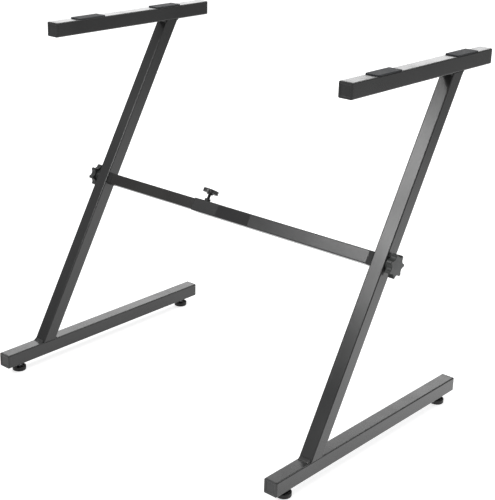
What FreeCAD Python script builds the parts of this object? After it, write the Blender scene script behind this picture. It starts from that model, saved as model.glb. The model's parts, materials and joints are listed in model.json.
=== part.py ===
import FreeCAD, Part
import math
import os
import re
import Sketcher

# A keyboard stand: two Z-shaped side frames of square steel tube, joined by a
# crossbar that telescopes. Each frame is clamped to its end of the crossbar by
# a star knob, and turns on the knob's bolt when the knob is loosened. A thumb
# screw holds the crossbar at its length.
#
# X runs along the crossbar, from the left frame to the right one. Y runs from
# the front of the feet to the back, and Z is up. The origin is on the floor,
# under the middle of the crossbar. Lengths are in millimetres.

# Driving sizes: word, value, and what it measures.
SIZES = [
    # Side frames
    ("frame_pitch", 630, "between the middles of the two frames"),
    ("lean_angle", 30, "of the uprights from the vertical, in degrees"),
    ("rise", 559, "from the top of the foot to the underside of the arm"),
    ("foot_length", 487, "of the foot tube, without its end plugs"),
    ("foot_overhang", 80, "of the foot tube in front of the upright"),
    ("arm_length", 376, "of the arm tube, without its end plugs"),
    ("arm_overhang", 80, "of the arm tube behind the upright"),
    ("frame_tube", 25, "side of the frames' square tube"),
    ("frame_wall", 1.5, "wall of the frames' tube"),
    ("frame_corner", 2, "outer corner radius of the frames' tube"),
    ("bead_leg", 4.5, "leg of a weld bead"),
    ("bead_bulge", 12, "radius of a weld bead's face"),
    # End plugs of the foot and arm tubes
    ("plug_flange", 2, "thickness of an end plug's flange"),
    ("plug_panel", 18, "side of the panel sunk in the flange"),
    ("plug_panel_depth", 0.6, "depth of that panel"),
    ("plug_corner", 1.2, "cut off the corners of the flange"),
    ("plug_depth", 16, "how far an end plug reaches into its tube"),
    ("plug_shell", 1.6, "wall of an end plug's spigot"),
    ("plug_gap", 0.8, "between an end plug's spigot and the tube"),
    ("rib_gap", 0.1, "between an end plug's ribs and the tube"),
    ("rib_thickness", 1.2, "of one rib"),
    ("rib_spacing", 4.5, "from one rib to the next"),
    ("rib_count", 2, "ribs on an end plug"),
    # Rubber pads on the arms
    ("pad_length", 61, "of a pad, along the arm"),
    ("pad_thickness", 2, "of a pad"),
    ("pad_corner", 1.5, "cut off the corners of a pad"),
    ("left_front_pad", 81, "from the arm tube's front end to the pad's middle"),
    ("left_rear_pad", 272, "from the arm tube's front end to the pad's middle"),
    ("right_front_pad", 91, "from the arm tube's front end to the pad's middle"),
    ("right_rear_pad", 305, "from the arm tube's front end to the pad's middle"),
    # Levelling feet
    ("foot_inset", 31, "from the end of the foot tube to a levelling foot"),
    ("disc_radius", 12.5, "of a levelling foot's disc"),
    ("disc_height", 8, "of a levelling foot's disc"),
    ("foot_gap", 7, "between the disc and the foot tube"),
    ("stud_radius", 4, "of a levelling foot's stud"),
    ("stud_grip", 6, "how far the stud is sunk in its disc"),
    ("stud_length", 28, "of the stud"),
    ("nut_width", 13, "of the nut the stud runs in, across its flats"),
    ("nut_height", 6.5, "of that nut"),
    # Crossbar
    ("outer_tube", 23, "side of the crossbar's outer tube"),
    ("inner_tube", 20, "side of the crossbar's inner tube"),
    ("bar_wall", 1.2, "wall of both crossbar tubes"),
    ("bar_corner", 1.8, "outer corner radius of both crossbar tubes"),
    ("outer_length", 377, "of the outer tube"),
    ("inner_length", 340, "of the inner tube"),
    ("end_block", 9, "length of the block at each end of the crossbar"),
    ("end_spigot", 25, "how far that block reaches into its tube"),
    ("spigot_gap", 0.2, "between the block's spigot and the tube"),
    # Clamp bolts, sleeves and star knobs
    ("bolt_radius", 4, "of a clamp bolt"),
    ("bolt_reach", 19, "how far a clamp bolt goes into the end block"),
    ("sleeve_radius", 6, "of the sleeve welded through an upright"),
    ("hub_radius", 11, "of a star knob's hub"),
    ("hub_length", 6, "of a star knob's hub"),
    ("star_radius", 20, "over the tips of a star knob's lobes"),
    ("star_thickness", 10, "of a star knob's lobes"),
    ("lobe_count", 7, "lobes on a star knob"),
    ("scallop_radius", 7, "of the hollows between the lobes"),
    ("scallop_place", 22, "from the knob's axis to a hollow's middle"),
    ("lobe_tip", 1.6, "rounding down the sides of the lobes"),
    ("knob_bore_depth", 11, "how far a clamp bolt is sunk in its knob"),
    ("left_knob_turn", 0, "at which the left knob stands tight, in degrees"),
    ("right_knob_turn", 16, "at which the right knob stands tight, in degrees"),
    # Thumb screw and its weld nut
    ("screw_inset", 19.5, "from the outer tube's open end to the thumb screw"),
    ("screw_radius", 3, "of the thumb screw"),
    ("weld_nut_width", 10, "of the weld nut, across its flats"),
    ("weld_nut_height", 5, "of the weld nut"),
    ("head_rise", 15, "from the outer tube to the thumb screw's head"),
    ("head_collar", 5.5, "radius of the collar under the head"),
    ("head_collar_length", 2.5, "length of that collar"),
    ("head_radius", 14, "of the thumb screw's head"),
    ("head_thickness", 7, "of the thumb screw's head"),
    ("notch_count", 12, "grip notches round the head"),
    ("notch_width", 2.4, "of one notch, at the rim"),
    ("notch_depth", 1.4, "of one notch"),
    ("head_bore_depth", 6, "how far the screw is sunk in its head"),
    # Clearances
    ("fit_gap", 0.05, "round a screw in its nut and a shaft in its socket"),
    ("turn_gap", 0.1, "round a clamp bolt in the sleeve that turns on it"),
    ("hole_gap", 0.4, "round a screw where it passes a plain hole"),
]

SIDES = {"left": -1, "right": 1}
ENDS = {"front": -1, "rear": 1}

document = FreeCAD.newDocument("keyboard_stand")
sheet = document.addObject("Spreadsheet::Sheet", "sizes")
for row, (word, amount, meaning) in enumerate(SIZES, start=1):
    sheet.set(f"A{row}", word)
    sheet.set(f"B{row}", str(amount))
    sheet.set(f"C{row}", meaning)
    sheet.setAlias(f"B{row}", word)
document.recompute()

WORDS = {word for word, amount, meaning in SIZES}

# How near two places have to be to count as the same one.
TOUCH = 0.01

# Places that several pieces share, written from the driving sizes.
HALF_RUN = "(rise / 2 * tan(lean_angle) + frame_tube / 2 / cos(lean_angle))"
FOOT_UNDERSIDE = "(disc_height + foot_gap)"
FOOT_MIDDLE_Z = f"({FOOT_UNDERSIDE} + frame_tube / 2)"
BOLT_Z = f"({FOOT_UNDERSIDE} + frame_tube + rise / 2)"
ARM_MIDDLE_Z = f"({BOLT_Z} + rise / 2 + frame_tube / 2)"
FOOT_MIDDLE_Y = f"(foot_length / 2 - {HALF_RUN} - foot_overhang)"
ARM_MIDDLE_Y = f"({HALF_RUN} + arm_overhang - arm_length / 2)"
FRAME_BORE = "(frame_tube - 2 * frame_wall)"
CLAMP_FACE = "(frame_pitch / 2 - frame_tube / 2)"
BAR_END = f"({CLAMP_FACE} - end_block)"
KNOB_SEAT = "(frame_pitch / 2 + frame_tube / 2)"
SCREW_X = f"({BAR_END} - outer_length + screw_inset)"


def number(text):
    """The value of a formula of the driving sizes."""
    return float(sheet.evalExpression(text))


def formula(text):
    """The same formula, as another object of the document reads it."""
    return re.sub(r"[a-z_]+", lambda found: linked(found.group()), text)


def linked(word):
    return f"sizes.{word}" if word in WORDS else word


def bind(item, prop, text):
    item.setExpression(prop, formula(text))


def new_body(label, x="0", y="0", z="0", turn=None):
    """A body at a place, turned about X where a turn is given."""
    body = document.addObject("PartDesign::Body", label)
    body.Label = label
    if turn is not None:
        about_x = FreeCAD.Rotation(FreeCAD.Vector(1, 0, 0), number(turn))
        body.Placement = FreeCAD.Placement(FreeCAD.Vector(), about_x)
        bind(body, "Placement.Rotation.Angle", turn)
    bind(body, "Placement.Base.x", x)
    bind(body, "Placement.Base.y", y)
    bind(body, "Placement.Base.z", z)
    return body


def new_sketch(body, name, plane, offset="0"):
    """A sketch on one of the body's own planes, or on a plane beside it."""
    sketch = body.newObject("Sketcher::SketchObject", name)
    planes = body.Origin.OriginFeatures
    support = [item for item in planes if item.Role == plane][0]
    sketch.AttachmentSupport = (support, [""])
    sketch.MapMode = "FlatFace"
    if offset != "0":
        bind(sketch, "AttachmentOffset.Base.z", offset)
    return sketch


def constrain(sketch, kind, *references, size=None):
    """A constraint, driven by a formula where it has a size."""
    if size is None:
        return sketch.addConstraint(Sketcher.Constraint(kind, *references))
    rule = Sketcher.Constraint(kind, *references, number(size))
    place = sketch.addConstraint(rule)
    bind(sketch, f"Constraints[{place}]", size)
    return place


def pin_point(sketch, curve, point, x, y):
    """Holds a point of a curve at a place measured from the sketch's origin."""
    if x == "0":
        constrain(sketch, "PointOnObject", curve, point, -2)
    else:
        constrain(sketch, "DistanceX", -1, 1, curve, point, size=x)
    if y == "0":
        constrain(sketch, "PointOnObject", curve, point, -1)
    else:
        constrain(sketch, "DistanceY", -1, 1, curve, point, size=y)


def draw_circle(sketch, radius, x="0", y="0"):
    middle = FreeCAD.Vector(number(x), number(y), 0)
    up = FreeCAD.Vector(0, 0, 1)
    curve = sketch.addGeometry(Part.Circle(middle, up, number(radius)))
    constrain(sketch, "Radius", curve, size=radius)
    if x == "0" and y == "0":
        constrain(sketch, "Coincident", curve, 3, -1, 1)
    else:
        pin_point(sketch, curve, 3, x, y)
    return curve


def draw_polygon(sketch, corners):
    """A closed outline of straight edges, each corner held by its formulas."""
    points = [FreeCAD.Vector(number(x), number(y), 0) for x, y in corners]
    edges = []
    for place, start in enumerate(points):
        end = points[(place + 1) % len(points)]
        edges.append(sketch.addGeometry(Part.LineSegment(start, end)))
    for place, edge in enumerate(edges):
        constrain(sketch, "Coincident", edge, 2, edges[(place + 1) % len(edges)], 1)
    for edge, (x, y) in zip(edges, corners):
        pin_point(sketch, edge, 1, x, y)


def draw_rectangle(sketch, width, height, cut="0"):
    """A rectangle centred on the sketch's origin, its corners cut off at 45
    degrees where a cut is given."""
    x, y = f"({width}) / 2", f"({height}) / 2"
    if cut == "0":
        corners = [(f"-{x}", f"-{y}"), (x, f"-{y}"), (x, y), (f"-{x}", y)]
    else:
        near_x, near_y = f"({x} - {cut})", f"({y} - {cut})"
        corners = [
            (f"-{near_x}", f"-{y}"), (near_x, f"-{y}"), (x, f"-{near_y}"), (x, near_y),
            (near_x, y), (f"-{near_x}", y), (f"-{x}", near_y), (f"-{x}", f"-{near_y}"),
        ]
    draw_polygon(sketch, corners)


def draw_hexagon(sketch, across_flats, y="0"):
    """A regular hexagon with two corners level with its middle."""
    corner = f"{across_flats} / sqrt(3)"
    half_corner = f"{across_flats} / 2 / sqrt(3)"
    top, bottom = f"{y} + {across_flats} / 2", f"{y} - {across_flats} / 2"
    draw_polygon(sketch, [
        (corner, y), (half_corner, top), (f"-{half_corner}", top),
        (f"-{corner}", y), (f"-{half_corner}", bottom), (half_corner, bottom),
    ])


def draw_rounded_square(sketch, width, height, corner):
    """A rectangle with rounded corners, centred on the sketch's origin."""
    half_width = number(width) / 2
    half_height = number(height) / 2
    radius = number(corner)
    flat_x = half_width - radius
    flat_y = half_height - radius
    ends = [
        (-flat_x, -half_height, flat_x, -half_height),
        (half_width, -flat_y, half_width, flat_y),
        (flat_x, half_height, -flat_x, half_height),
        (-half_width, flat_y, -half_width, -flat_y),
    ]
    sides = []
    for x1, y1, x2, y2 in ends:
        line = Part.LineSegment(FreeCAD.Vector(x1, y1, 0), FreeCAD.Vector(x2, y2, 0))
        sides.append(sketch.addGeometry(line))
    centres = [(flat_x, -flat_y), (flat_x, flat_y), (-flat_x, flat_y), (-flat_x, -flat_y)]
    arcs = []
    for quarter, (x, y) in enumerate(centres):
        circle = Part.Circle(FreeCAD.Vector(x, y, 0), FreeCAD.Vector(0, 0, 1), radius)
        start = math.radians(90 * (quarter - 1))
        arc = Part.ArcOfCircle(circle, start, start + math.pi / 2)
        arcs.append(sketch.addGeometry(arc))
    for quarter, (side, arc) in enumerate(zip(sides, arcs)):
        constrain(sketch, "Tangent", side, 2, arc, 1)
        constrain(sketch, "Tangent", arc, 2, sides[(quarter + 1) % 4], 1)
    for arc in arcs[1:]:
        constrain(sketch, "Equal", arcs[0], arc)
    constrain(sketch, "Horizontal", sides[2])
    constrain(sketch, "Vertical", sides[3])
    constrain(sketch, "Symmetric", sides[0], 1, sides[0], 2, -2)
    constrain(sketch, "Symmetric", sides[1], 1, sides[1], 2, -1)
    constrain(sketch, "Radius", arcs[0], size=corner)
    constrain(sketch, "DistanceX", sides[3], 1, sides[1], 1, size=width)
    constrain(sketch, "DistanceY", sides[0], 1, sides[2], 1, size=height)


def extrude(body, kind, sketch, length, backwards=False, both_ways=False):
    """A pad or pocket of a sketch, to one side of it or half to each side."""
    feature = body.newObject(kind, sketch.Name + "_run")
    feature.Profile = sketch
    bind(feature, "Length", length)
    feature.Reversed = backwards
    if both_ways:
        feature.SideType = "Symmetric"
    return feature


def pad(body, sketch, length, **direction):
    return extrude(body, "PartDesign::Pad", sketch, length, **direction)


def pocket(body, sketch, length, **direction):
    """A pocket that has to take something away."""
    document.recompute()
    before = body.Shape.Volume
    feature = extrude(body, "PartDesign::Pocket", sketch, length, **direction)
    document.recompute()
    if not body.Shape.Volume < before:
        raise ValueError(f"{sketch.Name} cuts nothing")
    return feature


def revolve(body, sketch, axis):
    feature = body.newObject("PartDesign::Revolution", sketch.Name + "_turn")
    feature.Profile = sketch
    feature.ReferenceAxis = (sketch, [axis])
    feature.Angle = 360
    return feature


def repeat_round(body, feature, sketch, axis, count):
    """Copies of a feature, evenly spaced round an axis of its sketch."""
    pattern = body.newObject("PartDesign::PolarPattern", feature.Name + "_ring")
    pattern.Originals = [feature]
    pattern.Axis = (sketch, [axis])
    pattern.Angle = 360
    bind(pattern, "Occurrences", count)
    body.Tip = pattern
    return pattern


def round_edges(body, base, radius, wanted):
    """A fillet on the edges of the base that meet a test."""
    document.recompute()
    names = []
    for place, edge in enumerate(base.Shape.Edges, start=1):
        if wanted(edge):
            names.append(f"Edge{place}")
    if not names:
        raise ValueError(f"{body.Label} has no edge to round")
    feature = body.newObject("PartDesign::Fillet", body.Name + "_rounding")
    feature.Base = (base, names)
    bind(feature, "Radius", radius)
    return feature


# --------------------------------------------------------------------------
# Side frames
# --------------------------------------------------------------------------

def level_tube(label, side, y, z, length):
    """A level tube of a side frame, from its front end to its rear end."""
    body = new_body(label, x=f"{side} * frame_pitch / 2", y=y, z=z)
    section = new_sketch(body, label + "_section", "XZ_Plane")
    draw_rounded_square(section, "frame_tube", "frame_tube", "frame_corner")
    draw_rectangle(section, FRAME_BORE, FRAME_BORE)
    pad(body, section, length, both_ways=True)
    return body


def foot_tube(label, side):
    """The tube next to the floor, with a nut welded inside its lower wall for
    each levelling foot."""
    body = level_tube(label, side, FOOT_MIDDLE_Y, FOOT_MIDDLE_Z, "foot_length")
    seat = "frame_wall - frame_tube / 2"
    nuts = new_sketch(body, label + "_nuts", "XY_Plane", offset=seat)
    bores = new_sketch(body, label + "_bores", "XY_Plane", offset=f"{seat} + nut_height")
    for end in ENDS.values():
        place = f"{end} * (foot_length / 2 - foot_inset)"
        draw_hexagon(nuts, "nut_width", y=place)
        draw_circle(bores, "stud_radius + fit_gap", y=place)
    pad(body, nuts, "nut_height")
    pocket(body, bores, "nut_height + frame_wall")
    return body


def arm_tube(label, side):
    return level_tube(label, side, ARM_MIDDLE_Y, ARM_MIDDLE_Z, "arm_length")


def upright_tube(label, side):
    """The leaning tube, cut level where it meets the foot and the arm, with the
    sleeve welded through it that keeps the clamp bolt from crushing it."""
    body = new_body(label, x=f"{side} * frame_pitch / 2", z=BOLT_Z)
    section = new_sketch(body, label + "_section", "XY_Plane")
    depth = "frame_tube / cos(lean_angle)"
    draw_rounded_square(section, "frame_tube", depth, "frame_corner")
    draw_rectangle(section, FRAME_BORE, f"{FRAME_BORE} / cos(lean_angle)")
    run = pad(body, section, "rise", both_ways=True)
    run.UseCustomVector = True
    run.AlongSketchNormal = True
    run.Direction = FreeCAD.Vector(0, number("tan(lean_angle)"), 1)
    bind(run, "Direction.y", "tan(lean_angle)")
    sleeve = new_sketch(body, label + "_sleeve", "YZ_Plane")
    draw_circle(sleeve, "sleeve_radius")
    pad(body, sleeve, "frame_tube", both_ways=True)
    bore = new_sketch(body, label + "_bore", "YZ_Plane")
    draw_circle(bore, "bolt_radius + turn_gap")
    pocket(body, bore, "frame_tube", both_ways=True)
    return body


def draw_bead(sketch, root_y, heading):
    """One bead's section, in the corner between the foot and the upright.

    heading is -1 in front of the upright and 1 behind it."""
    root_z = "-rise / 2"
    flat_end = f"{root_y} + {heading} * bead_leg"
    slope_y = f"{root_y} + bead_leg * sin(lean_angle)"
    slope_z = f"{root_z} + bead_leg * cos(lean_angle)"
    root = FreeCAD.Vector(number(root_y), number(root_z), 0)
    flat = FreeCAD.Vector(number(flat_end), number(root_z), 0)
    slope = FreeCAD.Vector(number(slope_y), number(slope_z), 0)
    along = sketch.addGeometry(Part.LineSegment(root, flat))
    up = sketch.addGeometry(Part.LineSegment(slope, root))
    chord = slope - flat
    outward = FreeCAD.Vector(chord.y, -chord.x, 0) * heading
    outward.normalize()
    bulge = number("bead_bulge")
    sink = math.sqrt(bulge ** 2 - chord.Length ** 2 / 4)
    crest = flat + chord / 2 + outward * (bulge - sink)
    face = sketch.addGeometry(Part.Arc(flat, crest, slope))
    first, last = (1, 2) if heading > 0 else (2, 1)
    constrain(sketch, "Coincident", along, 2, face, first)
    constrain(sketch, "Coincident", face, last, up, 1)
    constrain(sketch, "Coincident", up, 2, along, 1)
    pin_point(sketch, along, 1, root_y, root_z)
    pin_point(sketch, along, 2, flat_end, root_z)
    pin_point(sketch, up, 1, slope_y, slope_z)
    constrain(sketch, "Radius", face, size="bead_bulge")


def weld_beads(label, side):
    """Four beads: in front of and behind each end of the upright."""
    body = new_body(label, x=f"{side} * frame_pitch / 2", z=BOLT_Z)
    body.AllowCompound = True
    section = new_sketch(body, label + "_section", "YZ_Plane")
    front_root = f"-{HALF_RUN}"
    draw_bead(section, front_root, -1)
    draw_bead(section, f"{front_root} + frame_tube / cos(lean_angle)", 1)
    run = pad(body, section, "frame_tube - 2 * frame_corner", both_ways=True)
    repeat_round(body, run, section, "N_Axis", "2")
    return body


def end_plug(label, side, end, y, z, tube_length):
    """A ribbed plastic plug that closes one end of a level tube."""
    mouth = f"{y} + {end} * {tube_length} / 2"
    body = new_body(label, x=f"{side} * frame_pitch / 2", y=mouth, z=z)
    outwards = end < 0
    flange = new_sketch(body, label + "_flange", "XZ_Plane")
    draw_rectangle(flange, "frame_tube", "frame_tube", "plug_corner")
    pad(body, flange, "plug_flange", backwards=not outwards)

    spigot = new_sketch(body, label + "_spigot", "XZ_Plane")
    spigot_side = f"{FRAME_BORE} - 2 * plug_gap"
    draw_rectangle(spigot, spigot_side, spigot_side)
    hollow_side = f"{spigot_side} - 2 * plug_shell"
    draw_rectangle(spigot, hollow_side, hollow_side)
    pad(body, spigot, "plug_depth", backwards=outwards)

    inset = f"{end} * rib_spacing / 2"
    rib = new_sketch(body, label + "_rib", "XZ_Plane", offset=inset)
    rib_side = f"{FRAME_BORE} - 2 * rib_gap"
    draw_rectangle(rib, rib_side, rib_side)
    draw_rectangle(rib, spigot_side, spigot_side)
    one_rib = pad(body, rib, "rib_thickness", backwards=outwards)
    ribs = body.newObject("PartDesign::LinearPattern", label + "_ribs")
    ribs.Originals = [one_rib]
    ribs.Direction = (rib, ["N_Axis"])
    ribs.Reversed = outwards
    ribs.Mode = "Spacing"
    bind(ribs, "Offset", "rib_spacing")
    bind(ribs, "Occurrences", "rib_count")
    body.Tip = ribs

    face = f"{-end} * plug_flange"
    panel = new_sketch(body, label + "_panel", "XZ_Plane", offset=face)
    draw_rectangle(panel, "plug_panel", "plug_panel")
    pocket(body, panel, "plug_panel_depth", backwards=not outwards)
    return body


def arm_pad(label, side, place):
    """A flat rubber pad stuck on top of an arm."""
    y = f"{ARM_MIDDLE_Y} - arm_length / 2 + {place}"
    z = f"{ARM_MIDDLE_Z} + frame_tube / 2"
    body = new_body(label, x=f"{side} * frame_pitch / 2", y=y, z=z)
    outline = new_sketch(body, label + "_outline", "XY_Plane")
    draw_rectangle(outline, "frame_tube", "pad_length", "pad_corner")
    pad(body, outline, "pad_thickness")
    return body


# --------------------------------------------------------------------------
# Levelling feet
# --------------------------------------------------------------------------

def foot_place(end):
    return f"{FOOT_MIDDLE_Y} + {end} * (foot_length / 2 - foot_inset)"


def turned_upright(label, side, end, corners, z="0"):
    """A turned piece on a levelling foot's axis, from its half outline."""
    body = new_body(label, x=f"{side} * frame_pitch / 2", y=foot_place(end), z=z)
    outline = new_sketch(body, label + "_outline", "XZ_Plane")
    draw_polygon(outline, corners)
    revolve(body, outline, "V_Axis")
    return body


def foot_disc(label, side, end):
    """The disc that stands on the floor, with a socket for its stud."""
    socket = "stud_radius + fit_gap"
    socket_floor = "disc_height - stud_grip"
    return turned_upright(label, side, end, [
        ("0", "0"),
        ("disc_radius", "0"),
        ("disc_radius", "disc_height"),
        (socket, "disc_height"),
        (socket, socket_floor),
        ("0", socket_floor),
    ])


def foot_stud(label, side, end):
    return turned_upright(label, side, end, [
        ("0", "0"),
        ("stud_radius", "0"),
        ("stud_radius", "stud_length"),
        ("0", "stud_length"),
    ], z="disc_height - stud_grip")


# --------------------------------------------------------------------------
# Crossbar
# --------------------------------------------------------------------------

def bar_tube(label, middle_x, side_size, length):
    """One of the crossbar's two tubes, turned with the uprights."""
    body = new_body(label, x=middle_x, z=BOLT_Z, turn="-lean_angle")
    section = new_sketch(body, label + "_section", "YZ_Plane")
    draw_rounded_square(section, side_size, side_size, "bar_corner")
    bore = f"{side_size} - 2 * bar_wall"
    draw_rectangle(section, bore, bore)
    pad(body, section, length, both_ways=True)
    return body


def outer_tube(label):
    """The right-hand tube, with the thumb screw's hole in its upper wall."""
    body = bar_tube(label, f"{BAR_END} - outer_length / 2", "outer_tube", "outer_length")
    hole = new_sketch(body, label + "_hole", "XY_Plane")
    draw_circle(hole, "screw_radius + hole_gap", x="screw_inset - outer_length / 2")
    pocket(body, hole, "outer_tube", backwards=True)
    return body


def inner_tube(label):
    return bar_tube(label, f"inner_length / 2 - {BAR_END}", "inner_tube", "inner_length")


def end_block(label, side, tube):
    """The plastic block between a crossbar tube and its side frame, bored for
    the clamp bolt's thread."""
    body = new_body(label, x=f"{side} * {CLAMP_FACE}", z=BOLT_Z, turn="-lean_angle")
    inwards = side > 0
    block = new_sketch(body, label + "_block", "YZ_Plane")
    draw_rounded_square(block, "outer_tube", "outer_tube", "bar_corner")
    pad(body, block, "end_block", backwards=inwards)
    spigot = new_sketch(body, label + "_spigot", "YZ_Plane")
    spigot_side = f"{tube} - 2 * bar_wall - 2 * spigot_gap"
    draw_rectangle(spigot, spigot_side, spigot_side)
    pad(body, spigot, "end_block + end_spigot", backwards=inwards)
    bore = new_sketch(body, label + "_bore", "YZ_Plane")
    draw_circle(bore, "bolt_radius + fit_gap")
    pocket(body, bore, "end_block + end_spigot", backwards=not inwards)
    return body


def turned_along(label, side, x, corners, turn=None):
    """A turned piece on the crossbar's axis, from its half outline.

    The outline's lengths run outwards from x."""
    body = new_body(label, x=f"{side} * {x}", z=BOLT_Z, turn=turn)
    outline = new_sketch(body, label + "_outline", "XY_Plane")
    points = []
    for along, radius in corners:
        points.append(("0" if along == "0" else f"{side} * ({along})", radius))
    draw_polygon(outline, points)
    revolve(body, outline, "H_Axis")
    return body


def clamp_bolt(label, side):
    """The bolt from the star knob through the upright into the end block."""
    tip = f"{CLAMP_FACE} - bolt_reach"
    start = f"{KNOB_SEAT} + knob_bore_depth"
    length = f"({start}) - ({tip})"
    return turned_along(label, side, f"({tip})", [
        ("0", "0"),
        ("0", "bolt_radius"),
        (length, "bolt_radius"),
        (length, "0"),
    ])


def weld_nut(label):
    """The hexagon nut welded over the thumb screw's hole."""
    body = new_body(label, x=SCREW_X, z=BOLT_Z, turn="-lean_angle")
    outline = new_sketch(body, label + "_outline", "XY_Plane", offset="outer_tube / 2")
    draw_hexagon(outline, "weld_nut_width")
    draw_circle(outline, "screw_radius + fit_gap")
    pad(body, outline, "weld_nut_height")
    return body


# --------------------------------------------------------------------------
# Knobs
# --------------------------------------------------------------------------

def star_knob(label, side, turn):
    """A seven-lobed knob: a turned blank with a hollow cut between each pair
    of lobes, and the sides of the lobes rounded."""
    bore = "bolt_radius + fit_gap"
    face = "(hub_length + star_thickness)"
    body = turned_along(label, side, KNOB_SEAT, [
        ("0", bore),
        ("0", "hub_radius"),
        ("hub_length", "hub_radius"),
        ("hub_length", "star_radius"),
        (face, "star_radius"),
        (face, "0"),
        ("knob_bore_depth", "0"),
        ("knob_bore_depth", bore),
    ], turn=turn)
    hollow = new_sketch(body, label + "_hollow", "YZ_Plane")
    draw_circle(hollow, "scallop_radius", x="scallop_place")
    cut = pocket(body, hollow, f"2 * {face}", backwards=side > 0)
    star = repeat_round(body, cut, hollow, "N_Axis", "lobe_count")
    round_edges(body, star, "lobe_tip", down_a_lobe)
    return body


def down_a_lobe(edge):
    """Whether an edge runs along the knob at the tips of its lobes."""
    box = edge.BoundBox
    from_axis = math.hypot(box.Center.y, box.Center.z)
    straight = box.YLength < TOUCH and box.ZLength < TOUCH
    return straight and from_axis > number("star_radius") - TOUCH


def thumb_head(label):
    """The round head of the thumb screw, with grip notches round its rim."""
    foot = "(outer_tube / 2 + head_rise - head_collar_length)"
    body = new_body(label, x=SCREW_X, z=BOLT_Z, turn="-lean_angle")
    outline = new_sketch(body, label + "_outline", "XZ_Plane")
    underside = f"{foot} + head_collar_length"
    top = f"{underside} + head_thickness"
    bore = "screw_radius + fit_gap"
    bore_top = f"{foot} + head_bore_depth"
    draw_polygon(outline, [
        (bore, foot),
        ("head_collar", foot),
        ("head_collar", underside),
        ("head_radius", underside),
        ("head_radius", top),
        ("0", top),
        ("0", bore_top),
        (bore, bore_top),
    ])
    revolve(body, outline, "V_Axis")
    notch = new_sketch(body, label + "_notch", "XY_Plane")
    draw_polygon(notch, [
        ("head_radius - notch_depth", "0"),
        ("head_radius + notch_depth", "notch_width"),
        ("head_radius + notch_depth", "-notch_width"),
    ])
    cut = pocket(body, notch, f"2 * ({top})", backwards=True)
    repeat_round(body, cut, notch, "N_Axis", "notch_count")
    return body


def thumb_screw(label):
    """The screw that presses on the crossbar's inner tube."""
    body = new_body(label, x=SCREW_X, z=BOLT_Z, turn="-lean_angle")
    outline = new_sketch(body, label + "_outline", "XZ_Plane")
    tip = "inner_tube / 2"
    end = "outer_tube / 2 + head_rise - head_collar_length + head_bore_depth"
    draw_polygon(outline, [
        ("0", tip),
        ("screw_radius", tip),
        ("screw_radius", end),
        ("0", end),
    ])
    revolve(body, outline, "V_Axis")
    return body


# --------------------------------------------------------------------------
# The whole stand
# --------------------------------------------------------------------------

pieces = []
for name, side in SIDES.items():
    pieces.append(foot_tube(f"{name}_foot_tube", side))
    pieces.append(upright_tube(f"{name}_upright_tube", side))
    pieces.append(arm_tube(f"{name}_arm_tube", side))
    pieces.append(weld_beads(f"{name}_weld_beads", side))
    for end_name, end in ENDS.items():
        plug = f"{name}_foot_{end_name}_plug"
        pieces.append(end_plug(plug, side, end, FOOT_MIDDLE_Y, FOOT_MIDDLE_Z, "foot_length"))
        plug = f"{name}_arm_{end_name}_plug"
        pieces.append(end_plug(plug, side, end, ARM_MIDDLE_Y, ARM_MIDDLE_Z, "arm_length"))
        pieces.append(arm_pad(f"{name}_{end_name}_pad", side, f"{name}_{end_name}_pad"))
        pieces.append(foot_stud(f"{name}_{end_name}_foot_stud", side, end))
        pieces.append(foot_disc(f"{name}_{end_name}_foot_disc", side, end))
    tube = "outer_tube" if side > 0 else "inner_tube"
    pieces.append(end_block(f"{name}_end_block", side, tube))
    pieces.append(clamp_bolt(f"{name}_clamp_bolt", side))
    pieces.append(star_knob(f"{name}_star_knob", side, f"{name}_knob_turn"))
pieces.append(outer_tube("crossbar_outer_tube"))
pieces.append(inner_tube("crossbar_inner_tube"))
pieces.append(weld_nut("crossbar_weld_nut"))
pieces.append(thumb_screw("thumb_screw_shank"))
pieces.append(thumb_head("thumb_screw_head"))

document.recompute()

for item in document.Objects:
    faults = [word for word in item.State if word in ("Invalid", "Error")]
    if faults:
        raise RuntimeError(f"{item.Label}: {faults}")
for piece in pieces:
    if piece.Shape.isNull() or not piece.Shape.isValid():
        raise RuntimeError(f"{piece.Label} has no valid shape")

os.makedirs("parts", exist_ok=True)
for piece in pieces:
    piece.Shape.exportStep(f"parts/{piece.Label}.step")
print(len(pieces), "pieces written")
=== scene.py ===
# %% [markdown]
# A keyboard stand: two Z-shaped frames of square steel tube, a telescoping
# crossbar, star knobs, rubber pads and levelling feet. The CAD model already
# holds every tube, plug, knob and foot at its real size, so this file adds
# what makes them look real: powder coat, moulded plastic, rubber and plated
# steel, the threads, the rippled welds and the softened edges.

# %% Load the CAD frame
import json
import math

import bpy
from mathutils import Matrix, Vector


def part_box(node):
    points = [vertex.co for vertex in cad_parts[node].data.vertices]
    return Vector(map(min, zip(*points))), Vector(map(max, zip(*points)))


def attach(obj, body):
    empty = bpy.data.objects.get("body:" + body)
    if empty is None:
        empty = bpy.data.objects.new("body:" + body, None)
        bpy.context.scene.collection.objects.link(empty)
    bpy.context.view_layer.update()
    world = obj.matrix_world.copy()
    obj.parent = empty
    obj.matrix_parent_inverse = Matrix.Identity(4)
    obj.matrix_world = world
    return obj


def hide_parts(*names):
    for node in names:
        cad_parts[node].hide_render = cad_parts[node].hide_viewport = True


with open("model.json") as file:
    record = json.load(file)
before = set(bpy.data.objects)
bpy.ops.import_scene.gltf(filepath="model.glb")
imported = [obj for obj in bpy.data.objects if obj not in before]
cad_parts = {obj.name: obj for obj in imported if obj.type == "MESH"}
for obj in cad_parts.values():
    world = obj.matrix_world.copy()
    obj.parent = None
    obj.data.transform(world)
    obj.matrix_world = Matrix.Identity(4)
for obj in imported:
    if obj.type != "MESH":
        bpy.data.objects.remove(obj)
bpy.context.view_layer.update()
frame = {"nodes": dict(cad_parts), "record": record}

MM = 0.001
SIDES = ("left", "right")
ENDS = ("front", "rear")

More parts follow.
